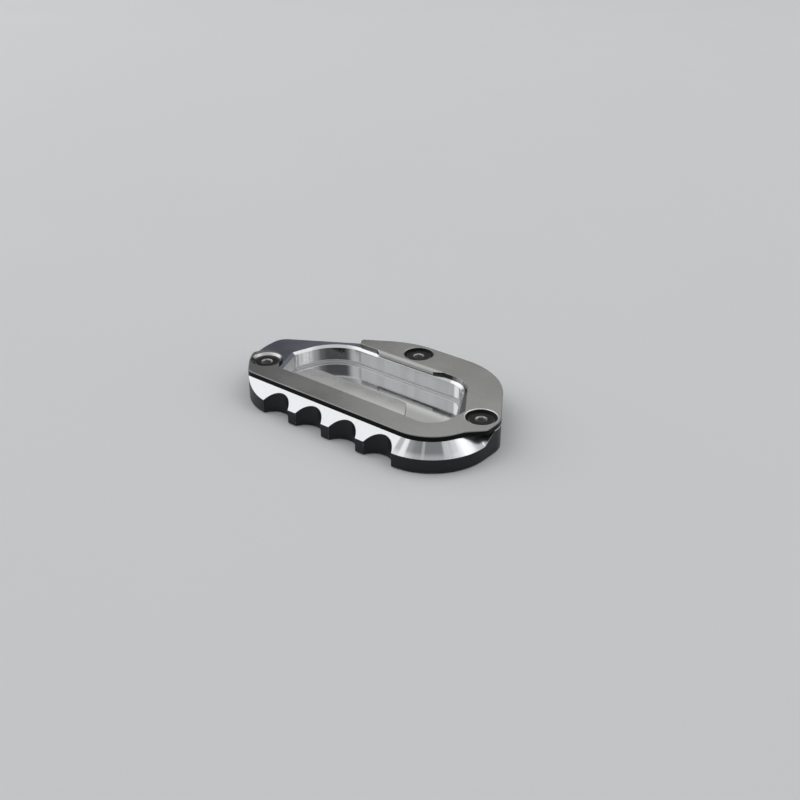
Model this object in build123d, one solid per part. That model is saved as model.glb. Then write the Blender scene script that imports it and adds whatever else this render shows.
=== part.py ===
from build123d import *
from math import atan2, cos, degrees, radians, sin, tan
import os

# Kickstand foot enlarger: a milled base with a pocket for the stand's foot, and a C-shaped
# plate that clamps the foot down with three countersunk screws.
# Millimetres. The origin is the middle of the outline on the ground, X runs along the
# straight toothed front, Y to the rear, Z up.

# Overall size
length = 110.6
width = 65.0
base_height = 9.4
plate_thickness = 2.0

# Base outline: how far each slanted side cuts into the box, and the corner radii
right_slope_run = 20.3
right_slope_drop = 32.0
left_slope_run = 47.1
left_slope_drop = 27.7
left_toe_run = 18.9
left_toe_rise = 20.4
front_corner_radius = 23.0
shoulder_radius = 10.0
rear_right_radius = 30.0
rear_left_radius = 34.0
left_heel_radius = 6.0
left_toe_radius = 32.0
ground_edge_break = 0.4

# Bright bevel above the front wall, and the end of the cut beside the right screw
front_wall_height = 5.5
bevel_run = 5.6
bevel_end_radius = 6.3
bevel_end_inset = 29.5

# Grip teeth: round scallops milled into the front wall
scallop_count = 4
scallop_radius = 6.6
scallop_depth = 4.3
scallop_pitch = 16.2
scallop_end_inset = 28.6

# Pocket for the stand's foot: wall positions measured from the outline's box
pocket_depth = 7.3
pocket_front_inset = 16.2
pocket_rear_inset = 15.0
pocket_right_inset = 16.4
pocket_left_inset = 13.9
pocket_cusp_inset = 30.9
pocket_toe_inset = 19.9
pocket_slope_run = 12.0
pocket_slope_rise = 12.4
pocket_shoulder_inset = 19.7
pocket_rear_left_radius = 17.0
pocket_front_right_radius = 7.3
pocket_rear_right_radius = 9.0
pocket_small_radius = 3.0
pocket_cusp_radius = 1.6
pocket_floor_fillet = 1.2
rim_bevel = 1.0

# Clamp plate
arm_inner_inset = 15.3
arm_rear_inset = 14.2
arm_end_inset = 28.8
arm_end_lean = 2.2
ear_lean = 6.3
ear_front_inset = 18.9
ear_concave_radius = 8.0
ear_corner_radius = 4.0
plate_right_inset = 15.7
plate_shoulder_lean = 1.5
plate_shoulder_rise = 31.0
plate_slope_run = 11.2
plate_rear_right_radius = 13.0
plate_front_right_radius = 9.0
plate_toe_radius = 5.0
left_ear_radius = 7.1
left_ear_offset = 1.6
left_ear_root_radius = 6.0
left_ear_heel_radius = 2.0
plate_small_radius = 1.2
plate_edge_break = 0.25

# Lips on the plate that reach over the foot
front_lip_reach = 9.6
front_lip_drop = 1.2
front_lip_left_inset = 29.2
front_lip_length = 52.7
front_lip_skew = 6.7
front_lip_radius = 4.0
rear_lip_reach = 0.9
rear_lip_left_inset = 39.6
rear_lip_length = 33.4
rear_lip_left_skew = 1.8
rear_lip_right_skew = 4.9

# Countersunk socket screws
screw_edge_distance = 7.2
right_screw_drop = 1.7
rear_screw_x = -0.2
left_screw_inset = 12.2
left_screw_rise = 17.3
head_diameter = 10.0
head_recess = 0.9
head_angle = 90.0
thread_diameter = 5.0
thread_clearance = 0.05
screw_length = 8.0
hole_floor = 1.4
socket_across_flats = 3.0
socket_depth = 1.8

# Positions worked out from the sizes above
left_x = -length / 2
right_x = length / 2
front_y = -width / 2
rear_y = width / 2
plate_top = base_height + plate_thickness
head_top = plate_top - head_recess
plate_front_y = front_y + bevel_run
arm_front_inner_y = front_y + arm_inner_inset
arm_rear_inner_y = rear_y - arm_rear_inset
left_toe = Vector(left_x, front_y + left_toe_rise)
front_left = Vector(left_x + left_toe_run, front_y)
lip_left_x = left_x + front_lip_left_inset
shoulder = Vector(right_x, rear_y - right_slope_drop)
left_screw = Vector(left_x + left_screw_inset, front_y + left_screw_rise)
right_screw = Vector(right_x - screw_edge_distance, shoulder.Y - right_screw_drop)
rear_screw = Vector(rear_screw_x, rear_y - screw_edge_distance)
screw_points = [left_screw, right_screw, rear_screw]
same_place = 0.001
rounding_share = 0.995


def rounding_reach(before, corner, after, radius):
    """How far a corner's rounding reaches along each of its two sides."""
    turn = (corner - before).get_angle(after - corner)
    return radius * tan(radians(turn) / 2)


def fitting_radii(points, radii):
    """The radii, made smaller where two neighbours would not fit on the side between them."""
    following = points[1:] + points[:1]
    reaches = [
        rounding_reach(points[index - 1], point, following[index], radii[index])
        for index, point in enumerate(points)
    ]
    shares = []
    for index, point in enumerate(points):
        room = (point - points[index - 1]).length * rounding_share
        taken = reaches[index] + reaches[index - 1]
        shares.append(room / max(taken, room))
    next_shares = shares[1:] + shares[:1]
    return [radius * min(pair) for radius, *pair in zip(radii, shares, next_shares)]


def cornered_face(corners):
    """A face from (x, y, radius) corners, straight between its rounded corners."""
    points = [Vector(x, y) for x, y, radius in corners]
    radii = [radius for x, y, radius in corners]
    return make_face(FilletPolyline(*points, radius=fitting_radii(points, radii), close=True))


def raised(shape, height):
    return Pos(0, 0, height) * shape


def rear_corners():
    """Corners that the base and the plate share, so that their sides lie flush."""
    return [
        (shoulder.X, shoulder.Y, shoulder_radius),
        (right_x - right_slope_run, rear_y, rear_right_radius),
        (left_x + left_slope_run, rear_y, rear_left_radius),
    ]


def base_outline():
    return cornered_face(
        [(right_x, front_y, front_corner_radius)]
        + rear_corners()
        + [
            (left_x, rear_y - left_slope_drop, left_heel_radius),
            (left_toe.X, left_toe.Y, left_toe_radius),
            (front_left.X, front_left.Y, front_corner_radius),
        ]
    )


def bevel_crown():
    """The body above the front wall: its front flares outward along the bevel's top line."""
    bevel_drop = base_height - front_wall_height
    top_line = cornered_face(
        [
            (left_x - length, plate_front_y, 0),
            (right_x - bevel_run, plate_front_y, front_corner_radius - bevel_run),
            (right_x - bevel_run, front_y + bevel_end_inset, bevel_end_radius),
            (right_x + length, front_y + bevel_end_inset, 0),
            (right_x + length, rear_y + width, 0),
            (left_x - length, rear_y + width, 0),
        ]
    )
    flare = degrees(atan2(bevel_run, bevel_drop))
    return extrude(raised(top_line, base_height), amount=-bevel_drop, taper=-flare)


def pocket_walls():
    wall_front = front_y + pocket_front_inset
    wall_rear = rear_y - pocket_rear_inset
    wall_right = right_x - pocket_right_inset
    slope_top = wall_right - pocket_slope_run
    return cornered_face(
        [
            (left_x + pocket_toe_inset, wall_front, pocket_small_radius),
            (wall_right, wall_front, pocket_front_right_radius),
            (wall_right, wall_front + pocket_slope_rise, pocket_small_radius),
            (slope_top, wall_rear, pocket_rear_right_radius),
            (left_x + pocket_shoulder_inset, wall_rear, pocket_rear_left_radius),
            (left_x + pocket_left_inset, front_y + pocket_cusp_inset, pocket_cusp_radius),
        ]
    )


def screw_seat():
    """The tapped hole and the 90 degree countersink, pointing up from the head's top."""
    half = radians(head_angle / 2)
    mouth = head_diameter / 2 + head_recess * sin(half) / cos(half)
    cone_depth = (mouth - thread_diameter / 2) * cos(half) / sin(half)
    cone = Pos(0, 0, plate_top - cone_depth / 2) * Cone(thread_diameter / 2, mouth, cone_depth)
    bore_depth = plate_top - hole_floor
    bore = Pos(0, 0, hole_floor + bore_depth / 2) * Cylinder(thread_diameter / 2, bore_depth)
    return cone + bore


def screw_seats():
    return [Pos(point.X, point.Y, 0) * screw_seat() for point in screw_points]


def scallops():
    first_x = right_x - scallop_end_inset
    centre_y = front_y - scallop_radius + scallop_depth
    cutter = Cylinder(scallop_radius, base_height * 2)
    return [
        Pos(first_x - index * scallop_pitch, centre_y, base_height) * cutter
        for index in range(scallop_count)
    ]


def make_base():
    outline = base_outline()
    wall = extrude(outline, amount=front_wall_height)
    upper = extrude(raised(outline, front_wall_height), amount=base_height - front_wall_height)
    body = wall + (upper & bevel_crown())
    body = body - scallops()
    ground_edges = body.faces().sort_by(Axis.Z)[0].outer_wire().edges()
    body = chamfer(ground_edges, length=ground_edge_break)
    pocket = raised(extrude(pocket_walls(), amount=pocket_depth), base_height - pocket_depth)
    body = body - pocket
    floor = body.faces().filter_by(Axis.Z).group_by(Axis.Z)[1][0]
    body = fillet(floor.outer_wire().edges(), radius=pocket_floor_fillet)
    rim = body.faces().filter_by(Axis.Z).sort_by(Axis.Z)[-1].inner_wires()[0].edges()
    body = chamfer(rim, length=rim_bevel)
    return body - screw_seats()


def left_end_limits():
    """The room for the plate's left end: flush with the base's toe and with the bevel's top line."""
    toe_corner = front_left + (left_toe - front_left) * (bevel_run / left_toe_rise)
    return cornered_face(
        [
            (lip_left_x, plate_front_y, 0),
            (lip_left_x, rear_y, 0),
            (left_x, rear_y, 0),
            (left_toe.X, left_toe.Y, left_toe_radius),
            (toe_corner.X, toe_corner.Y, plate_toe_radius),
        ]
    )


def left_ear_end():
    """The plate's left end: a strip of the front arm and a round ear, trimmed to its room."""
    arm_width = arm_front_inner_y - plate_front_y
    strip = Pos(lip_left_x, plate_front_y) * Rectangle(length, arm_width, align=(Align.MAX, Align.MIN))
    ear = Pos(left_screw.X - left_ear_offset, left_screw.Y) * Circle(left_ear_radius)
    end = (strip + ear) & left_end_limits()
    root = end.vertices().filter_by(lambda v: abs(v.Y - arm_front_inner_y) < same_place).sort_by(Axis.X)[0]
    end = fillet(root, radius=left_ear_root_radius)
    heel = end.vertices().sort_by(Axis.X)[0]
    return fillet(heel, radius=left_ear_heel_radius)


def plate_outline():
    slant = left_slope_drop / left_slope_run
    arm_tip_x = left_x + arm_end_inset
    arm_tip_y = rear_y - left_slope_drop + arm_end_inset * slant
    inner_right = right_x - plate_right_inset
    arm = cornered_face(
        [
            (lip_left_x, plate_front_y, 0),
            (right_x - bevel_run - ear_lean, plate_front_y, front_corner_radius - bevel_run),
            (right_x - bevel_run, front_y + ear_front_inset, ear_concave_radius),
            (right_x, front_y + ear_front_inset + bevel_run, ear_corner_radius),
        ]
        + rear_corners()
        + [
            (arm_tip_x, arm_tip_y, plate_small_radius),
            (arm_tip_x + arm_end_lean, arm_rear_inner_y, plate_small_radius),
            (inner_right - plate_slope_run, arm_rear_inner_y, plate_rear_right_radius),
            (inner_right + plate_shoulder_lean, front_y + plate_shoulder_rise, plate_small_radius),
            (inner_right, arm_front_inner_y, plate_front_right_radius),
            (lip_left_x, arm_front_inner_y, 0),
        ]
    )
    return arm + left_ear_end()


def lip(plan, side):
    """A lip of the plate's thickness with a sloping top: its plan crossed with its side view."""
    block = raised(extrude(plan, amount=plate_thickness), base_height)
    profile = Plane.YZ * make_face(Polyline(*side, close=True))
    return block & extrude(profile, amount=length, both=True)


def front_lip():
    """The long lip over the front of the pocket: its top slopes down from the arm's edge."""
    root_right = lip_left_x + front_lip_length
    root_y = (plate_front_y + arm_front_inner_y) / 2
    tip_y = arm_front_inner_y + front_lip_reach
    plan = cornered_face(
        [
            (lip_left_x, root_y, 0),
            (root_right, root_y, 0),
            (root_right, arm_front_inner_y, 0),
            (root_right - front_lip_skew, tip_y, front_lip_radius),
            (lip_left_x, tip_y, front_lip_radius),
        ]
    )
    side = [
        (root_y, base_height),
        (tip_y, base_height),
        (tip_y, plate_top - front_lip_drop),
        (arm_front_inner_y, plate_top),
        (root_y, plate_top),
    ]
    return lip(plan, side)


def rear_lip():
    """The short lip over the rear wall, bevelled along its whole edge."""
    root_left = left_x + rear_lip_left_inset
    root_right = root_left + rear_lip_length
    tip_y = arm_rear_inner_y - rear_lip_reach
    plan = cornered_face(
        [
            (root_left, rear_screw.Y, 0),
            (root_left, arm_rear_inner_y, 0),
            (root_left + rear_lip_left_skew, tip_y, 0),
            (root_right - rear_lip_right_skew, tip_y, 0),
            (root_right, arm_rear_inner_y, 0),
            (root_right, rear_screw.Y, 0),
        ]
    )
    side = [
        (rear_screw.Y, base_height),
        (tip_y, base_height),
        (tip_y, plate_top - rear_lip_reach),
        (arm_rear_inner_y, plate_top),
        (rear_screw.Y, plate_top),
    ]
    return lip(plan, side)


def make_clamp_plate():
    plate = raised(extrude(plate_outline(), amount=plate_thickness), base_height)
    plate = chamfer(plate.faces().sort_by(Axis.Z)[-1].outer_wire().edges(), length=plate_edge_break)
    plate = plate + front_lip() + rear_lip()
    return plate - screw_seats()


def screw():
    """A countersunk screw with a hexagon socket, its axis on Z and its head at head_top."""
    head_radius = head_diameter / 2
    shank_radius = thread_diameter / 2 - thread_clearance
    half = radians(head_angle / 2)
    cone_height = (head_radius - shank_radius) * cos(half) / sin(half)
    profile = make_face(
        Polyline(
            (0, head_top),
            (head_radius, head_top),
            (shank_radius, head_top - cone_height),
            (shank_radius, head_top - screw_length),
            (0, head_top - screw_length),
            close=True,
        )
    )
    body = revolve(Plane.XZ * profile, Axis.Z)
    socket_radius = socket_across_flats / 2 / cos(radians(30))
    socket = extrude(RegularPolygon(socket_radius, 6), amount=socket_depth)
    return body - raised(socket, head_top - socket_depth)


def make_clamp_screws():
    return Compound(children=[Pos(point.X, point.Y, 0) * screw() for point in screw_points])


os.makedirs("parts", exist_ok=True)
export_step(make_base(), "parts/base.step")
export_step(make_clamp_plate(), "parts/clamp_plate.step")
export_step(make_clamp_screws(), "parts/clamp_screws.step")
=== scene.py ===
import math
import bmesh
import bpy
import numpy as np
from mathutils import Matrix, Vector


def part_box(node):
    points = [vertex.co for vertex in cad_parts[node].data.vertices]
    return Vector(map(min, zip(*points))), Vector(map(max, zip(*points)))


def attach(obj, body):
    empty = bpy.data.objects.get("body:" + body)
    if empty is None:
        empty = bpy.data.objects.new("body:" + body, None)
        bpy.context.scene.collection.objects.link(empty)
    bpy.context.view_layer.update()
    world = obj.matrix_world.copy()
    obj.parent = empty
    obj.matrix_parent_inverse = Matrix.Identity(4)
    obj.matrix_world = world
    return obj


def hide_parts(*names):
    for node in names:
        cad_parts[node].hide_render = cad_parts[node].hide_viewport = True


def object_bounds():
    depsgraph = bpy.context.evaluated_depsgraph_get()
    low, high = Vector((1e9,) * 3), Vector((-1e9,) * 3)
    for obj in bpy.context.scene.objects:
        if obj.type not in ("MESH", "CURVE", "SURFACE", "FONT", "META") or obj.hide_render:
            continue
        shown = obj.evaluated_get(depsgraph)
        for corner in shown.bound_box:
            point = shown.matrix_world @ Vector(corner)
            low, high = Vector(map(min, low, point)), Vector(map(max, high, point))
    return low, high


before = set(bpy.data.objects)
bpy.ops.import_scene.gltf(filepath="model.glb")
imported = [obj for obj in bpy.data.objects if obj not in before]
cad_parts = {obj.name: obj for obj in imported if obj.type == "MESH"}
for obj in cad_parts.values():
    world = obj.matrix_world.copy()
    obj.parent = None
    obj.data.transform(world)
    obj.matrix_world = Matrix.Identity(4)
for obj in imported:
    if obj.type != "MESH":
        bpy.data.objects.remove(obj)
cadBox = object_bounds()
mm = 0.001
print("frame loaded:", sorted(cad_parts))


def readArray(items, name, width, kind=float):   # one row for each of the items
    values = np.empty(len(items) * width, dtype=kind)
    items.foreach_get(name, values)
    return values.reshape(-1, width)


# Screw centres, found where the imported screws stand: they lie far apart along X

def screwCentres(gap=10 * mm):
    points = readArray(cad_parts["clamp_screws"].data.vertices, "co", 3)
    points = points[np.argsort(points[:, 0])]
    groups = np.split(points, np.flatnonzero(np.diff(points[:, 0]) > gap) + 1)
    return np.array([(group.min(0) + group.max(0))[:2] / 2 for group in groups])


screwPlaces = screwCentres()
print("screws at", (screwPlaces / mm).round(1).tolist(), "mm")


# Shader helpers

noiseSpan = (0.3, 0.7)   # most of a noise's values lie between these
flatten = (1, 1, 0)      # scale that drops the height


def startFinish(name, plainValues):   # plain values go straight on the shader's sockets
    finish = bpy.data.materials.new(name)
    finish.use_nodes = True
    tree = finish.node_tree
    shader = tree.nodes["Principled BSDF"]
    for socket, value in plainValues.items():
        shader.inputs[socket].default_value = value
    return finish, tree, shader


def addNode(tree, kind, inputs, **settings):
    node = tree.nodes.new("ShaderNode" + kind)
    for key, value in settings.items():
        setattr(node, key, value)
    for key, value in inputs.items():
        if isinstance(value, bpy.types.NodeSocket):
            tree.links.new(value, node.inputs[key])
        else:
            node.inputs[key].default_value = value
    return node


def sums(tree, operation, first, second=0.0):
    return addNode(tree, "Math", {0: first, 1: second}, operation=operation).outputs[0]


def vectorSums(tree, operation, first, second=(0, 0, 0), output="Value"):
    return addNode(tree, "VectorMath", {0: first, 1: second}, operation=operation).outputs[output]


def objectPlace(tree):
    return addNode(tree, "TexCoord", {}).outputs["Object"]


def splitPlace(tree, place):
    return addNode(tree, "SeparateXYZ", {0: place}).outputs


def stretched(tree, place, scale):
    return addNode(tree, "Mapping", {"Vector": place, "Scale": scale}).outputs[0]


def noiseOf(tree, place, scale, detail=2.0):
    return addNode(tree, "TexNoise", {"Vector": place, "Scale": scale, "Detail": detail}).outputs["Fac"]


def between(tree, value, fromLow, fromHigh, low, high):   # smooth step from low to high
    inputs = {"Value": value, "From Min": fromLow, "From Max": fromHigh, "To Min": low, "To Max": high}
    return addNode(tree, "MapRange", inputs, interpolation_type="SMOOTHSTEP").outputs[0]


def within(tree, value, low, high, soft):   # 1 between low and high, 0 outside
    rising = between(tree, value, low - soft, low + soft, 0, 1)
    return sums(tree, "MULTIPLY", rising, between(tree, value, high - soft, high + soft, 1, 0))


def mixed(tree, factor, first, second):   # colours, as (r, g, b) or sockets
    pair = [c if isinstance(c, bpy.types.NodeSocket) else (*c, 1.0) for c in (first, second)]
    return addNode(tree, "Mix", {0: factor, 6: pair[0], 7: pair[1]}, data_type="RGBA").outputs[2]


def coloured(tree, shader, colour):
    tree.links.new(colour, shader.inputs["Base Color"])


def roughened(tree, shader, value, look, span=noiseSpan):
    rough = between(tree, value, *span, look["smoothest"], look["roughest"])
    tree.links.new(rough, shader.inputs["Roughness"])


def bumped(tree, shader, height, look):
    bump = addNode(tree, "Bump", {"Height": height, "Strength": look["bump"], "Distance": look["bumpDepth"]})
    tree.links.new(bump.outputs[0], shader.inputs["Normal"])


# Black anodising: satin, bead-blasted grain, faint upright cutter lines

anodised = dict(
    dark=(0.0065, 0.0070, 0.0083), light=(0.015, 0.0162, 0.019), patch=150, patchDetail=4, grain=4200,
    lines=1500, lineStretch=(1, 1, 0.03), smoothest=0.30, roughest=0.44, roughSpan=(0.1, 0.4),
    bump=0.16, bumpDepth=0.02 * mm, specular=0.32,
)
plateSide = dict(anodised, dark=(0.003, 0.003, 0.0035), light=(0.007, 0.007, 0.008), specular=0.10)


def anodisedBlack(name, look):
    finish, tree, shader = startFinish(name, {"Specular IOR Level": look["specular"]})
    place = objectPlace(tree)
    patches = noiseOf(tree, place, look["patch"], look["patchDetail"])
    grain = noiseOf(tree, place, look["grain"])
    lines = noiseOf(tree, stretched(tree, place, look["lineStretch"]), look["lines"])
    coloured(tree, shader, mixed(tree, patches, look["dark"], look["light"]))
    roughened(tree, shader, sums(tree, "MULTIPLY", patches, grain), look, look["roughSpan"])
    bumped(tree, shader, sums(tree, "ADD", grain, lines), look)
    return finish


# Satin aluminium: fine blasted grain with a faint brushing along X.
# A patch, where there is one, lies between limits on some axes (0 to 2) and has another tone: painted shade
# on the deck and under the rear lip, a painted highlight on the fillet.
# A one-sided look keeps the plain tone on one side of a centre as a painted highlight, and goes dark
# elsewhere and close to it as painted shade

plateTop = dict(
    dark=(0.387, 0.382, 0.366), light=(0.454, 0.449, 0.431), cloud=70, cloudDetail=3, cloudShare=0.75,
    grain=5200, brush=2600, brushStretch=(0.04, 1, 1),
    metal=1.0, smoothest=0.25, roughest=0.29, bump=0.015, bumpDepth=0.01 * mm,
)
# the front lip and the right countersink's mouth: a lighter copy of the plate's satin, a painted highlight
lipTop = dict(plateTop, dark=(0.86, 0.85, 0.82), light=(0.95, 0.942, 0.91))
rearLipTop = dict(plateTop, dark=(0.37, 0.368, 0.352), light=(0.44, 0.437, 0.418))
lipFront = dict(
    plateTop, metal=0.15, dark=(0.60, 0.60, 0.59), light=(0.70, 0.70, 0.69), smoothest=0.45, roughest=0.55,
)
# the cut edges and the opening's inner sides: a darker copy of the plate's satin, painted shade
shadedCutEdge = dict(plateTop, dark=(0.26, 0.257, 0.248), light=(0.32, 0.317, 0.308))
# the underside, the notches' sides and the opening's front right edge: a much darker copy of the satin,
# painted shade
shadedUnderSide = dict(plateTop, dark=(0.075, 0.074, 0.072), light=(0.095, 0.094, 0.09))
sinkCut = dict(
    plateTop, dark=(0.62, 0.62, 0.60), light=(0.78, 0.78, 0.76), smoothest=0.24, roughest=0.34,
    # on the left countersink the far side is a painted highlight and the rest painted shade
    farSideGlint=dict(
        centre=screwPlaces[0], towards=(-0.62, 0.78, 0), turn=(0.15, 0.65),
        reach=(4.95 * mm, 5.2 * mm), colour=(0.035, 0.035, 0.034),
    ),
)
filletCutAndHighlight = dict(
    plateTop, dark=(0.53, 0.533, 0.537), light=(0.60, 0.60, 0.60), smoothest=0.52, roughest=0.60,
    # the fillet's upper band is a painted highlight
    patch=dict(spans={2: (2.95 * mm, 4.0 * mm)}, soft=0.2 * mm, colour=(0.97, 0.97, 0.97)),
)
deckTopAndShade = dict(
    plateTop, dark=(0.215, 0.233, 0.274), light=(0.272, 0.293, 0.342), cloud=90,
    # the right part is darker and neutral: painted shade
    patch=dict(spans={0: (8 * mm, 80 * mm)}, soft=4 * mm, colour=(0.14, 0.14, 0.136)),
)
rimCutAndLipShade = dict(
    plateTop, dark=(0.86, 0.865, 0.87), light=(0.95, 0.95, 0.95), smoothest=0.18, roughest=0.28,
    # under the rear lip the rim is darker: painted shade
    patch=dict(
        spans={0: (-14.6 * mm, 20.8 * mm), 1: (16 * mm, 20 * mm)}, soft=0.6 * mm, colour=(0.50, 0.50, 0.49),
    ),
)


def paintedLightPatch(tree, place, colour, patch):
    split = splitPlace(tree, place)
    spans = patch["spans"].items()
    share, *others = [within(tree, split[axis], *span, patch["soft"]) for axis, span in spans]
    for other in others:
        share = sums(tree, "MULTIPLY", share, other)
    return mixed(tree, share, colour, patch["colour"])


def paintedFarSide(tree, place, colour, side):
    away = vectorSums(tree, "SUBTRACT", place, (*side["centre"], 0), "Vector")
    flat = stretched(tree, away, flatten)
    far = between(tree, vectorSums(tree, "LENGTH", flat), *side["reach"], 0, 1)
    way = vectorSums(tree, "NORMALIZE", flat, output="Vector")
    faced = vectorSums(tree, "DOT_PRODUCT", way, side["towards"])
    farGlintShare = sums(tree, "MULTIPLY", between(tree, faced, *side["turn"], 0, 1), far)
    return mixed(tree, farGlintShare, side["colour"], colour)


def satinMetal(name, look):
    finish, tree, shader = startFinish(name, {"Metallic": look["metal"]})
    place = objectPlace(tree)
    clouds = noiseOf(tree, place, look["cloud"], look["cloudDetail"])
    grain = noiseOf(tree, place, look["grain"])
    brush = noiseOf(tree, stretched(tree, place, look["brushStretch"]), look["brush"])
    cloudPart = sums(tree, "MULTIPLY", clouds, look["cloudShare"])
    tone = sums(tree, "ADD", cloudPart, sums(tree, "MULTIPLY", brush, 1 - look["cloudShare"]))
    colour = mixed(tree, between(tree, tone, *noiseSpan, 0, 1), look["dark"], look["light"])
    if "patch" in look:
        colour = paintedLightPatch(tree, place, colour, look["patch"])
    if "farSideGlint" in look:
        colour = paintedFarSide(tree, place, colour, look["farSideGlint"])
    coloured(tree, shader, colour)
    roughened(tree, shader, clouds, look)
    bumped(tree, shader, sums(tree, "ADD", grain, brush), look)
    return finish


# Bright-cut bevel: light metal with streaks that run down the slope.
# Along the cut, s = x before the round corner and radius times angle on it, so streaks fan out there.
# On the corner, painted dark reflections lie across it in bands (from, to, share) and at its end, paler at
# their foot, with one painted bright line in the broad band and a painted gleam before the end

bevelCut = dict(
    cornerX=32.3 * mm, cornerY=-9.5 * mm, cornerRadius=20.0 * mm, fine=2600, streakSpan=(0.3, 0.6),
    darkReflectionBands=((0.6 * mm, 2.8 * mm, 0.75), (4.8 * mm, 17.2 * mm, 1.0), (19.4 * mm, 22.4 * mm, 0.35)),
    soft=0.5 * mm, line=(10.0 * mm, 11.0 * mm), lineSoft=0.25 * mm, lineShare=0.6,
    gleamAt=(23.8 * mm, 28.6 * mm), gleamSoft=1.0 * mm, end=(32.0 * mm, 34.0 * mm),
    footRise=(5.9 * mm, 7.2 * mm), darkReflection=(0.325, 0.33, 0.325), foot=(0.62, 0.625, 0.62),
    mid=(0.73, 0.735, 0.745), light=(0.82, 0.825, 0.83), paintedGleam=(0.98, 0.98, 0.98),
    smoothest=0.16, roughest=0.28, bump=0.05, bumpDepth=0.01 * mm,
)


def bevelBright():
    look = bevelCut
    finish, tree, shader = startFinish("brightCutBevel", {"Metallic": 1.0})
    split = splitPlace(tree, objectPlace(tree))
    past = sums(tree, "SUBTRACT", split[0], look["cornerX"])
    ahead = sums(tree, "SUBTRACT", look["cornerY"], split[1])
    angle = sums(tree, "ARCTAN2", sums(tree, "MAXIMUM", past, 0), ahead)
    onCorner = sums(tree, "MULTIPLY", angle, look["cornerRadius"])
    along = sums(tree, "ADD", sums(tree, "MINIMUM", past, 0), onCorner)
    fine = noiseOf(tree, addNode(tree, "CombineXYZ", {0: along}).outputs[0], look["fine"])
    # painted dark reflections along the corner, with a painted bright line and a painted gleam
    darkReflectionShare = between(tree, along, *look["end"], 0, 1)
    for low, high, share in look["darkReflectionBands"]:
        band = sums(tree, "MULTIPLY", within(tree, along, low, high, look["soft"]), share)
        darkReflectionShare = sums(tree, "MAXIMUM", darkReflectionShare, band)
    paintedBrightLine = within(tree, along, *look["line"], look["lineSoft"])
    darkReflectionShare = sums(tree, "SUBTRACT", darkReflectionShare, sums(tree, "MULTIPLY", paintedBrightLine, look["lineShare"]))
    darkReflection = mixed(tree, between(tree, split[2], *look["footRise"], 1, 0), look["darkReflection"], look["foot"])
    plain = mixed(tree, between(tree, fine, *look["streakSpan"], 0, 1), look["mid"], look["light"])
    paintedGleamShare = within(tree, along, *look["gleamAt"], look["gleamSoft"])
    plain = mixed(tree, paintedGleamShare, plain, look["paintedGleam"])
    coloured(tree, shader, mixed(tree, darkReflectionShare, plain, darkReflection))
    roughened(tree, shader, fine, look)
    bumped(tree, shader, fine, look)
    return finish


# Pocket walls: mirror-milled, faint upright streaks left by the side of the cutter.
# The end wall behind the left ear is duller. Round the centre of the rear left arc, from the rear wall (0)
# to the left (a quarter turn), lie painted dark reflections in bars (from, to, softness, share) and one
# painted bright reflection bar

pocketSides = dict(
    streak=160, streakDetail=3, streakSpan=(0.34, 0.62), upStretch=(1, 1, 0.02), fine=2600,
    dark=(0.76, 0.765, 0.77), light=(0.86, 0.86, 0.86), dullRise=(-3.2 * mm, -1.2 * mm), dullMetal=0.35,
    arcX=-23.0 * mm, arcY=0.5 * mm,
    darkReflectionBars=(
        (0.33, 0.98, 0.13, 0.72), (0.98, 1.22, 0.06, 0.36),
        (1.60, 1.68, 0.015, 0.40), (0.02, 0.08, 0.02, 0.30),
    ),
    darkReflectionTone=(0.10, 0.107, 0.125), gleamAt=(1.35, 1.49), gleamSoft=0.03, paintedGleam=(0.98, 0.98, 0.97),
    smoothest=0.10, roughest=0.15, bump=0.02, bumpDepth=0.01 * mm,
)


def pocketWall():
    look = pocketSides
    finish, tree, shader = startFinish("milledPocketWall", {})
    place = objectPlace(tree)
    upright = stretched(tree, place, look["upStretch"])
    streaks = noiseOf(tree, upright, look["streak"], look["streakDetail"])
    fine = noiseOf(tree, upright, look["fine"])
    colour = mixed(tree, between(tree, streaks, *look["streakSpan"], 0, 1), look["dark"], look["light"])
    split = splitPlace(tree, place)
    leftward = sums(tree, "SUBTRACT", look["arcX"], split[0])
    turn = sums(tree, "ARCTAN2", leftward, sums(tree, "SUBTRACT", split[1], look["arcY"]))
    # a painted bright reflection bar, then painted dark reflection bars round the arc
    colour = mixed(tree, within(tree, turn, *look["gleamAt"], look["gleamSoft"]), colour, look["paintedGleam"])
    for low, high, soft, share in look["darkReflectionBars"]:
        darkReflectionBar = sums(tree, "MULTIPLY", within(tree, turn, low, high, soft), share)
        colour = mixed(tree, darkReflectionBar, colour, look["darkReflectionTone"])
    coloured(tree, shader, colour)
    roughened(tree, shader, fine, look)
    metal = between(tree, split[1], *look["dullRise"], look["dullMetal"], 1)
    tree.links.new(metal, shader.inputs["Metallic"])
    bumped(tree, shader, sums(tree, "ADD", fine, streaks), look)
    return finish


# Pocket floor: end-mill passes along X. In each pass the marks are arcs of the cutter,
# a sine of x - sqrt(radius squared - sideways squared). It has painted shade in front, but not at its left
# end

pocketBed = dict(
    passWidth=7.0 * mm, cutterRadius=5.0 * mm, feed=0.35 * mm, cloud=120, cloudDetail=4,
    dark=(0.76, 0.76, 0.755), light=(0.84, 0.84, 0.835), smoothest=0.09, roughest=0.12,
    front=(0.44, 0.437, 0.425), paintedShadeShare=0.9, paintedShadeRise=(-1.0 * mm, 6.5 * mm),
    sideRise=(-26.0 * mm, -10.0 * mm),
    bump=0.012, bumpDepth=0.01 * mm,
)


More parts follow.
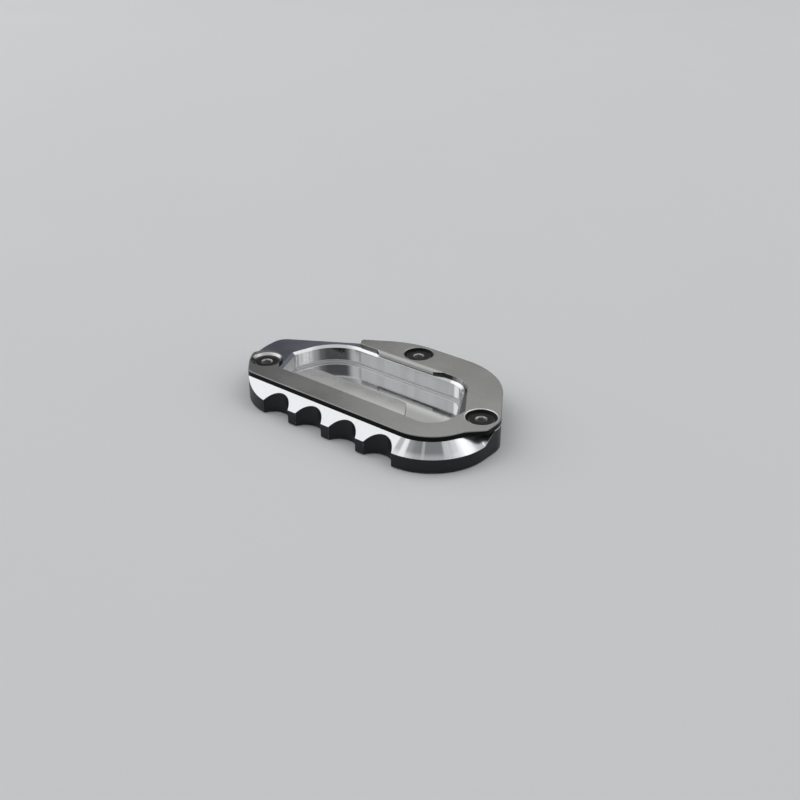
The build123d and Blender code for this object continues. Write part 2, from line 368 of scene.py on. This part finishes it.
def pocketFloor():
    look = pocketBed
    finish, tree, shader = startFinish("milledPocketFloor", {"Metallic": 1.0})
    place = objectPlace(tree)
    split = splitPlace(tree, place)
    inPass = sums(tree, "FLOORED_MODULO", split[1], look["passWidth"])
    sideways = sums(tree, "SUBTRACT", inPass, look["passWidth"] / 2)
    room = sums(tree, "SUBTRACT", look["cutterRadius"] ** 2, sums(tree, "MULTIPLY", sideways, sideways))
    arc = sums(tree, "SUBTRACT", split[0], sums(tree, "SQRT", room))
    marks = sums(tree, "SINE", sums(tree, "MULTIPLY", arc, 2 * math.pi / look["feed"]))
    clouds = noiseOf(tree, place, look["cloud"], look["cloudDetail"])
    # painted shade towards the front, fading out at the left end
    inFront = between(tree, split[1], *look["paintedShadeRise"], look["paintedShadeShare"], 0)
    inFront = sums(tree, "MULTIPLY", inFront, between(tree, split[0], *look["sideRise"], 0, 1))
    plain = mixed(tree, clouds, look["dark"], look["light"])
    coloured(tree, shader, mixed(tree, inFront, plain, look["front"]))
    roughened(tree, shader, clouds, look)
    bumped(tree, shader, marks, look)
    return finish


# Edges where handling has rubbed the anodising thin

edgeWear = dict(
    worn=(0.17, 0.173, 0.178), kept=(0.035, 0.037, 0.04), patch=900, patchDetail=4, patchSpan=(0.42, 0.6),
    roughness=0.34,
)


def wornEdge():
    look = edgeWear
    finish, tree, shader = startFinish("wornEdge", {"Metallic": 1.0, "Roughness": look["roughness"]})
    rubbed = noiseOf(tree, objectPlace(tree), look["patch"], look["patchDetail"])
    bare = between(tree, rubbed, *look["patchSpan"], 0, 1)
    coloured(tree, shader, mixed(tree, bare, look["kept"], look["worn"]))
    return finish


# Black oxide steel of the screws: turned rings on the heads; the socket's walls are lightened as a painted
# glint, and the rim, cone and socket chamfer are worn bare and lightened further as a painted glint

screwSteel = dict(
    metal=1.0, dark=(0.012, 0.012, 0.012), light=(0.042, 0.042, 0.042), patch=700, patchDetail=4,
    ringPitch=0.16 * mm, smoothest=0.26, roughest=0.42, bump=0.12, bumpDepth=0.01 * mm,
)
# the socket's walls: a lighter copy of the black oxide, a painted glint
socketGlintSteel = dict(screwSteel, metal=0.3, dark=(0.20, 0.198, 0.19), light=(0.44, 0.436, 0.42))
# rubbed steel: bare where worn, and lighter still as a painted glint
rubbedGlintSteel = dict(
    screwSteel, dark=(0.16, 0.16, 0.155), light=(0.62, 0.615, 0.60), smoothest=0.20, roughest=0.30,
)


def blackSteel(name, look):
    finish, tree, shader = startFinish(name, {"Metallic": look["metal"]})
    place = objectPlace(tree)
    flat = stretched(tree, place, flatten)
    nearest, *others = [vectorSums(tree, "DISTANCE", flat, (x, y, 0)) for x, y in screwPlaces]
    for other in others:
        nearest = sums(tree, "MINIMUM", nearest, other)
    rings = sums(tree, "SINE", sums(tree, "MULTIPLY", nearest, 2 * math.pi / look["ringPitch"]))
    patches = noiseOf(tree, place, look["patch"], look["patchDetail"])
    coloured(tree, shader, mixed(tree, patches, look["dark"], look["light"]))
    roughened(tree, shader, patches, look)
    bumped(tree, shader, rings, look)
    return finish


# Finishes of each piece, by the name that its faces are sorted under

baseFinishes = dict(
    black=anodisedBlack("blackAnodised", anodised), bevel=bevelBright(),
    walls=pocketWall(), bed=pocketFloor(),
    deck=satinMetal("satinDeck", deckTopAndShade), rim=satinMetal("brightRim", rimCutAndLipShade),
    fillet=satinMetal("satinFillet", filletCutAndHighlight), worn=wornEdge(),
)
plateFinishes = dict(
    side=anodisedBlack("blackPlateSide", plateSide), top=satinMetal("satinPlate", plateTop),
    lip=satinMetal("litSatinLip", lipTop), edge=satinMetal("shadedSatinEdge", shadedCutEdge),
    sink=satinMetal("brightCountersink", sinkCut), rearLip=satinMetal("satinRearLip", rearLipTop),
    lipFront=satinMetal("satinLipFront", lipFront), shadedUnder=satinMetal("shadedSatinUnderside", shadedUnderSide),
)
screwFinishes = dict(
    steel=blackSteel("blackOxideSteel", screwSteel), socket=blackSteel("socketGlintSteel", socketGlintSteel),
    rubbed=blackSteel("rubbedGlintSteel", rubbedGlintSteel),
)
print("finishes made")


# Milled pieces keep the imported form: its loose triangles are joined, sorted by finish,
# and their sharp edges get a small rounding

milling = dict(
    stepsAMetre=1e7,                   # points in the same tenth of a micrometre become one
    flatTurn=math.radians(0.05),       # faces that turn less than this become one
    faceWeight=100,                    # large faces decide the shading
)
flatUp, leaning = 0.96, 0.3            # upward share of a face's direction on flats and on slopes
sharper = 28                           # edges that turn more than this many degrees are rounded
besideIt = -1                          # number that lets a rounding keep the finish beside it


def joinedMesh(nodeName):
    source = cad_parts[nodeName].data
    points = readArray(source.vertices, "co", 3)
    corners = readArray(source.loops, "vertex_index", 1, np.int64)
    snapped = (points * milling["stepsAMetre"]).round().astype(np.int64)
    _, first, merged = np.unique(snapped, axis=0, return_index=True, return_inverse=True)
    mesh = bpy.data.meshes.new(nodeName + "Milled")
    triangles = merged.reshape(-1)[corners].reshape(-1, 3)
    mesh.from_pydata(points[first].tolist(), [], triangles.tolist())
    shape = bmesh.new()
    shape.from_mesh(mesh)
    bmesh.ops.dissolve_limit(shape, angle_limit=milling["flatTurn"], verts=shape.verts, edges=shape.edges)
    shape.to_mesh(mesh)
    shape.free()
    return mesh


# The two faces of every edge, the angle between them, and the edge's middle
def edgeArrays(mesh, normals):
    loopEdges = readArray(mesh.loops, "edge_index", 1, np.int64)[:, 0]
    sides = readArray(mesh.polygons, "loop_total", 1, np.int64)[:, 0]
    loopFaces = np.repeat(np.arange(len(sides)), sides)
    pairs = loopFaces[np.argsort(loopEdges, kind="stable")].reshape(-1, 2)
    turns = np.arccos(np.clip(np.sum(normals[pairs[:, 0]] * normals[pairs[:, 1]], axis=1), -1, 1))
    ends = readArray(mesh.edges, "vertices", 2, np.int64)
    return pairs, np.degrees(turns), readArray(mesh.vertices, "co", 3)[ends].mean(axis=1)


def addRounding(piece, name, chosen, look, number):   # rounds the chosen edges only
    weights = piece.data.attributes.new(name, "FLOAT", "EDGE")
    weights.data.foreach_set("value", chosen.astype(np.float32))
    rounding = piece.modifiers.new(name, "BEVEL")
    rounding.width = look["width"]
    rounding.segments = look["segments"]
    rounding.limit_method = "WEIGHT"
    rounding.edge_weight = name
    rounding.miter_outer = "MITER_ARC"
    rounding.use_clamp_overlap = False
    rounding.material = number


def addFinishes(mesh, finishes):   # gives the number of each finish, by its name
    for finish in finishes.values():
        mesh.materials.append(finish)
    return {name: number for number, name in enumerate(finishes)}


def milledPiece(name, nodeName, look, sortFaces, sortEdges):
    mesh = joinedMesh(nodeName)
    numbers = addFinishes(mesh, look["finishes"])
    normals = readArray(mesh.polygons, "normal", 3)
    picked = sortFaces(numbers, normals, readArray(mesh.polygons, "center", 3)).astype(np.int32)
    mesh.polygons.foreach_set("material_index", picked)
    mesh.polygons.foreach_set("use_smooth", np.ones(len(mesh.polygons), dtype=bool))
    piece = bpy.data.objects.new(name, mesh)
    bpy.context.scene.collection.objects.link(piece)
    pairs, turns, places = edgeArrays(mesh, normals)
    for edgeName, chosen in sortEdges(numbers, picked[pairs], turns, places).items():
        edgeLook = look[edgeName]
        addRounding(piece, edgeName, chosen, edgeLook, numbers.get(edgeLook["finish"], besideIt))
    evened = piece.modifiers.new("evenShading", "WEIGHTED_NORMAL")
    evened.weight = milling["faceWeight"]
    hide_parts(nodeName)
    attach(piece, "root")
    print(name, len(mesh.polygons), "faces before rounding")


# Base: black block, bright bevel, mirror-milled pocket, satin deck.
# A crisp edge keeps the finish beside it

baseLook = dict(
    pocketMiddle=(0.0, 0.5 * mm), pocketLow=(-42.6 * mm, -17.9 * mm), pocketHigh=(40.2 * mm, 19.1 * mm),
    bedTop=2.5 * mm, filletTop=3.4 * mm, rimLow=8.3 * mm, levelUp=0.9999, behindEar=(0.5, 0.1),
    finishes=baseFinishes,
    seamLow=(30 * mm, -12 * mm, 9.3 * mm),
    seamEdges=dict(width=0.28 * mm, segments=2, finish="rim"),
    rubbedEdges=dict(width=0.12 * mm, segments=2, finish="worn"),
    crispEdges=dict(width=0.08 * mm, segments=2, finish=None),
)


def sortBaseFaces(numbers, normals, middles):
    look = baseLook
    up, plan, height = normals[:, 2], middles[:, :2], middles[:, 2]
    inPocket = np.all((plan > look["pocketLow"]) & (plan < look["pocketHigh"]), axis=1)
    inward = np.sum(normals[:, :2] * (plan - look["pocketMiddle"]), axis=1) < 0
    sloping = (up > leaning) & (up < flatUp)
    rim = sloping & inPocket & inward & (height > look["rimLow"])
    leftEarRim = rim & np.all(normals[:, :2] > look["behindEar"], axis=1)     # behind the left ear
    fillet = (up > 0) & (up < look["levelUp"]) & inPocket & (height < look["filletTop"])
    picked = np.full(len(up), numbers["black"])
    picked[sloping] = numbers["bevel"]
    picked[(up > -leaning) & (up < flatUp) & inPocket & inward] = numbers["walls"]
    picked[(up > flatUp) & (height > look["bedTop"])] = numbers["deck"]
    picked[(up > flatUp) & (height < look["bedTop"])] = numbers["bed"]
    picked[rim] = numbers["rim"]
    picked[leftEarRim] = numbers["deck"]
    picked[fillet] = numbers["fillet"]
    return picked


# Black edges are rubbed thin, and the seam beside the right ear is bright
def sortBaseEdges(numbers, finishPairs, turns, places):
    sharp = turns > sharper
    isBlack = finishPairs == numbers["black"]
    blackBoth = np.all(isBlack, axis=1)
    outer = np.any(isBlack, axis=1) & np.any(finishPairs == numbers["deck"], axis=1)
    seam = sharp & outer & np.all(places > baseLook["seamLow"], axis=1)
    return {"seamEdges": seam, "rubbedEdges": sharp & blackBoth, "crispEdges": sharp & ~blackBoth & ~seam}


# Plate: satin top and lips, plain cut edges round the opening, dark outer sides and notches; the front lip
# and the right countersink's mouth are lightened as a painted highlight, and the cut edges, the underside,
# the notches and the opening's front right edge are darkened as painted shade.
# The countersinks' mouths get a wider cut, one look for each screw from left to right

plateLook = dict(
    mouthRadius=5.9 * mm, mouthRoom=0.25 * mm, rearTip=17.4 * mm, tipRoom=0.2 * mm, breakLow=11.1 * mm,
    innerLow=(-47 * mm, -21 * mm), innerHigh=(43 * mm, 26 * mm),
    notchMiddles=(-15.6 * mm, 17.9 * mm), notchHalf=2.6 * mm, facing=0.6, lipTilt=0.05,
    finishes=plateFinishes,
    leftMouth=dict(width=0.30 * mm, segments=3, finish="sink"),
    rearMouth=dict(width=0.22 * mm, segments=3, finish="rearLip"),
    rightMouth=dict(width=0.22 * mm, segments=3, finish="lip"),
    crispEdges=dict(width=0.06 * mm, segments=2, finish=None),
)


def screwReach(places, centres):   # distance in plan from the nearest of the screws
    return np.linalg.norm(places[:, None, :2] - centres[None], axis=2).min(axis=1)


def sortPlateFaces(numbers, normals, middles):
    look = plateLook
    up, plan, height = normals[:, 2], middles[:, :2], middles[:, 2]
    frontward, rearward = normals[:, 1] < -look["facing"], normals[:, 1] > look["facing"]
    mouth = look["mouthRadius"] + look["mouthRoom"]
    outOfMouth = screwReach(middles, screwPlaces) > mouth
    sloping = (up > leaning) & (up < flatUp)
    side = (np.abs(up) < leaning) & outOfMouth
    slope = sloping & outOfMouth
    nearOpening = np.all((plan > look["innerLow"]) & (plan < look["innerHigh"]), axis=1)
    inward = nearOpening & (np.sum(normals[:, :2] * plan, axis=1) < 0)
    inFront = plan[:, 1] < 0
    notchReach = np.abs(plan[:, :1] - look["notchMiddles"]).min(axis=1)
    notch = (plan[:, 1] > 0) & (notchReach < look["notchHalf"])
    atTip = np.abs(plan[:, 1] - look["rearTip"]) < look["tipRoom"]
    picked = np.full(len(up), numbers["side"])
    picked[up > flatUp] = numbers["top"]
    picked[up < -flatUp] = numbers["shadedUnder"]
    picked[side & inward] = numbers["edge"]
    # the notches' sides are painted shade
    picked[side & inward & notch] = numbers["shadedUnder"]
    picked[(up > flatUp) & (normals[:, 1] > look["lipTilt"])] = numbers["lip"]
    picked[side & rearward & inFront] = numbers["lip"]
    picked[slope] = numbers["edge"]
    # the opening's front right edge is painted shade
    picked[slope & inward & inFront & (plan[:, 0] > look["notchMiddles"][1])] = numbers["shadedUnder"]
    picked[slope & frontward & (height < look["breakLow"])] = numbers["rearLip"]
    picked[(np.abs(up) < leaning) & frontward & atTip] = numbers["lipFront"]
    picked[sloping & (screwReach(middles, screwPlaces[:1]) < mouth)] = numbers["sink"]
    return picked


def sortPlateEdges(numbers, finishPairs, turns, places):
    look = plateLook
    sharp = turns > sharper
    sunk = (finishPairs == numbers["side"]) | (finishPairs == numbers["sink"])
    onTop = np.any(finishPairs == numbers["top"], axis=1) & np.any(sunk, axis=1)
    offMouth = np.abs(screwReach(places, screwPlaces) - look["mouthRadius"])
    mouth = sharp & onTop & (offMouth < look["mouthRoom"])
    chosen = {
        name: mouth & (screwReach(places, screwPlaces[index:index + 1]) < 2 * look["mouthRadius"])
        for index, name in enumerate(("leftMouth", "rearMouth", "rightMouth"))
    }
    return dict(chosen, crispEdges=sharp & ~mouth)


milledPiece("milledBase", "base", baseLook, sortBaseFaces, sortBaseEdges)
milledPiece("clampPlate", "clamp_plate", plateLook, sortPlateFaces, sortPlateEdges)


# Screws: a turned profile (radius, height, share of hexagon, share of thread) carried round each axis.
# A row's radius blends from a circle to a hexagon, flat / cos(angle from the flat's middle),
# and on the thread it falls by a ridge that climbs one pitch a turn

screwLook = dict(
    around=96, headRadius=5.0 * mm, shank=2.45 * mm, pitch=0.8 * mm, threadDepth=0.42 * mm, rowsAPitch=10,
    tipChamfer=0.4 * mm, rim=0.16 * mm, rimRows=6, mouth=2.05 * mm, stepShare=1 / 3, mouthDrop=0.28 * mm,
    halfFlats=1.5 * mm, socketDepth=1.8 * mm, drillShare=0.8, drillHex=0.6, drillDrop=0.5 * mm,
    turns=(0.35, 0.12, 0.78), sharpTurn=math.radians(32),
    finishes=screwFinishes,
)


def screwRows(numbers):
    look = screwLook
    low, high = (corner.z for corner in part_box("clamp_screws"))
    neck = high - (look["headRadius"] - look["shank"])          # where the 90 degree cone meets the shank
    threadHeights = np.arange(low + look["tipChamfer"], neck, look["pitch"] / look["rowsAPitch"])
    thread = np.stack([np.full_like(threadHeights, look["shank"]), threadHeights,
                       np.zeros_like(threadHeights), np.ones_like(threadHeights)], axis=1)
    bend = np.linspace(-math.pi / 4, math.pi / 2, look["rimRows"])
    rimMiddle = look["headRadius"] - look["rim"] * (1 + math.sqrt(2))
    rim = np.stack([rimMiddle + look["rim"] * np.cos(bend), high - look["rim"] + look["rim"] * np.sin(bend),
                    np.zeros_like(bend), np.zeros_like(bend)], axis=1)
    tip = [(look["shank"] - look["tipChamfer"], low, 0, 0)]
    neckRow = [(look["shank"], neck, 0, 0)]
    floor = high - look["socketDepth"]
    socket = [
        (look["mouth"] + look["rim"], high, 0, 0),
        (look["mouth"], high - look["rim"] * look["stepShare"], 0, 0),
        (look["halfFlats"], high - look["mouthDrop"], 1, 0),
        (look["halfFlats"], floor, 1, 0),
        (look["halfFlats"] * look["drillShare"], floor - look["rim"], look["drillHex"], 0),
    ]
    rows = np.concatenate([tip, thread, neckRow, rim, socket])
    zones = np.full(len(rows) - 1, numbers["steel"], dtype=np.int32)
    # the rubbed parts are worn bare and lightened as a painted glint; the socket's walls are a painted glint
    zones[-len(socket) - len(rim):-len(socket)] = numbers["rubbed"]     # the cone and the rim above it
    zones[1 - len(socket):] = numbers["socket"]
    zones[1 - len(socket):3 - len(socket)] = numbers["rubbed"]     # the chamfer round the socket
    return rows, zones, (low, floor - look["drillDrop"])


def makeScrews():
    look = screwLook
    around = look["around"]
    mesh = bpy.data.meshes.new("turnedScrews")
    numbers = addFinishes(mesh, look["finishes"])
    rows, rowZones, poles = screwRows(numbers)
    angle = np.arange(around) * 2 * math.pi / around
    radius, height, hexShare, threaded = (column[:, None] for column in rows.T)
    fromFlat = np.mod(angle, math.pi / 3) - math.pi / 6
    hexagon = radius / np.cos(fromFlat)
    climb = np.mod(height / look["pitch"] - angle / (2 * math.pi), 1)
    groove = threaded * look["threadDepth"] * np.abs(2 * climb - 1)
    spread = radius + hexShare * (hexagon - radius) - groove
    count = len(rows)
    row, column = np.meshgrid(np.arange(count - 1) * around, np.arange(around), indexing="ij")
    after = (column + 1) % around
    quads = np.stack([row + column, row + after, row + around + after, row + around + column], axis=-1)
    ring = np.arange(around)
    following = (ring + 1) % around
    lastRow = (count - 1) * around
    poleAt = count * around
    fans = np.concatenate([
        np.stack([np.full_like(ring, poleAt), following, ring], axis=1),
        np.stack([lastRow + ring, lastRow + following, np.full_like(ring, poleAt + 1)], axis=1),
    ])
    points, faces, zones = [], [], []
    for index, (x, y) in enumerate(screwPlaces):
        turned = angle + look["turns"][index]
        skin = np.stack([x + spread * np.cos(turned), y + spread * np.sin(turned),
                         np.broadcast_to(height, spread.shape)], axis=-1).reshape(-1, 3)
        start = index * (poleAt + len(poles))
        points += skin.tolist() + [(x, y, z) for z in poles]
        faces += (quads.reshape(-1, 4) + start).tolist() + (fans + start).tolist()
        zones += np.repeat(rowZones, around).tolist() + [numbers["steel"]] * len(fans)
    mesh.from_pydata(points, [], faces)
    mesh.polygons.foreach_set("material_index", np.array(zones, dtype=np.int32))
    mesh.polygons.foreach_set("use_smooth", np.ones(len(faces), dtype=bool))
    mesh.set_sharp_from_angle(angle=look["sharpTurn"])
    piece = bpy.data.objects.new("countersunkScrews", mesh)
    bpy.context.scene.collection.objects.link(piece)
    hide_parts("clamp_screws")
    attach(piece, "root")
    print("screws:", len(faces), "faces")


makeScrews()


# Pale floor that sweeps up into a backdrop: its height is 0 inside the flat, and beyond it
# rises as a circle, bend - sqrt(bend squared - past squared)

floorLook = dict(
    flat=1.7, bend=1.0, bendTurn=math.pi / 3, rows=40, around=96, colour=(0.84, 0.84, 0.84),
    roughness=0.75, specular=0.2, mottle=9, mottleDetail=3, mottleShift=0.01,
)


def makeFloor():
    look = floorLook
    around = look["around"]
    plainValues = {"Roughness": look["roughness"], "Specular IOR Level": look["specular"]}
    finish, tree, shader = startFinish("paleFloor", plainValues)
    mottle = noiseOf(tree, objectPlace(tree), look["mottle"], look["mottleDetail"])
    shifted = [tuple(c + side * look["mottleShift"] for c in look["colour"]) for side in (-1, 1)]
    coloured(tree, shader, mixed(tree, mottle, *shifted))
    past = look["bend"] * np.sin(np.linspace(0, look["bendTurn"], look["rows"]))
    reach = (look["flat"] + past)[:, None]
    rise = (look["bend"] - np.sqrt(look["bend"] ** 2 - past ** 2))[:, None]
    angle = np.arange(around) * 2 * math.pi / around
    rise = np.broadcast_to(rise, (look["rows"], around))
    sweep = np.stack([reach * np.cos(angle), reach * np.sin(angle), rise], axis=-1).reshape(-1, 3)
    row, column = np.meshgrid(np.arange(look["rows"] - 1) * around, np.arange(around), indexing="ij")
    after = (column + 1) % around
    quads = np.stack([row + column, row + around + column, row + around + after, row + after], axis=-1)
    mesh = bpy.data.meshes.new("paleFloor")
    mesh.from_pydata(sweep.tolist(), [], quads.reshape(-1, 4).tolist() + [list(range(around))])
    mesh.polygons.foreach_set("use_smooth", np.ones(len(mesh.polygons), dtype=bool))
    mesh.materials.append(finish)
    floor = bpy.data.objects.new("paleFloor", mesh)
    bpy.context.scene.collection.objects.link(floor)


# Soft panels of light, and a pale sky that is dimmer on the camera's side and opposite it

middle = (cadBox[0] + cadBox[1]) / 2
panels = {
    "keyPanel": dict(towards=(-0.553, -0.198, 0.805), away=1.8, size=(1.5, 1.3), power=3.0),
    "highPanel": dict(towards=(0.32, 0.405, 0.85), away=1.8, size=(0.84, 0.72), power=1.1),
    "backPanel": dict(towards=(-0.2112, 0.7364, 0.6428), away=1.9, size=(1.6, 0.9), power=2.5),
    "leftPanel": dict(towards=(-0.903, -0.079, 0.423), away=1.8, size=(2.0, 0.9), power=3.0),
    "rightStrip": dict(towards=(0.840, 0.273, 0.469), away=1.8, size=(0.18, 0.9), power=0.9),
}
sky = dict(
    colour=(0.95, 0.97, 1.0), bright=0.58, dim=0.24, dimBack=0.20, dimSide=(0.62, -0.78, 0.0),
    dimFrom=0.60, dimTo=0.76,
)


def makePanel(name, look):
    lamp = bpy.data.lights.new(name, "AREA")
    lamp.shape = "RECTANGLE"
    lamp.size, lamp.size_y = look["size"]
    lamp.energy = look["power"]
    holder = bpy.data.objects.new(name, lamp)
    direction = Vector(look["towards"]).normalized()
    holder.location = middle + direction * look["away"]
    holder.rotation_euler = direction.to_track_quat("Z", "Y").to_euler()
    bpy.context.scene.collection.objects.link(holder)


def makeSky():
    world = bpy.data.worlds.new("paleSky")
    world.use_nodes = True
    tree = world.node_tree
    ground = tree.nodes["Background"]
    ground.inputs["Color"].default_value = (*sky["colour"], 1)
    way = addNode(tree, "TexCoord", {}).outputs["Generated"]
    facing = vectorSums(tree, "DOT_PRODUCT", way, sky["dimSide"])
    front = between(tree, facing, sky["dimFrom"], sky["dimTo"], sky["bright"], sky["dim"])
    back = between(tree, facing, -sky["dimTo"], -sky["dimFrom"], sky["dimBack"] / sky["bright"], 1)
    tree.links.new(sums(tree, "MULTIPLY", front, back), ground.inputs["Strength"])
    bpy.context.scene.world = world


makeFloor()
for name, look in panels.items():
    makePanel(name, look)
makeSky()
bpy.context.scene.view_settings.view_transform = "Standard"
print("stage lit")


# Camera where the photograph was taken from

eye = dict(
    place=(228.6 * mm, -270.9 * mm, 189.9 * mm), aim=(18.2 * mm, -9.3 * mm, 11.4 * mm),
    lens=47.7, sensor=36.0, near=0.01,
)
lens = bpy.data.cameras.new("photoCamera")
lens.lens = eye["lens"]
lens.sensor_width = eye["sensor"]
lens.clip_start = eye["near"]
camera = bpy.data.objects.new("photoCamera", lens)
camera.location = eye["place"]
camera.rotation_euler = (Vector(eye["aim"]) - Vector(eye["place"])).to_track_quat("-Z", "Y").to_euler()
bpy.context.scene.collection.objects.link(camera)
bpy.context.scene.camera = camera
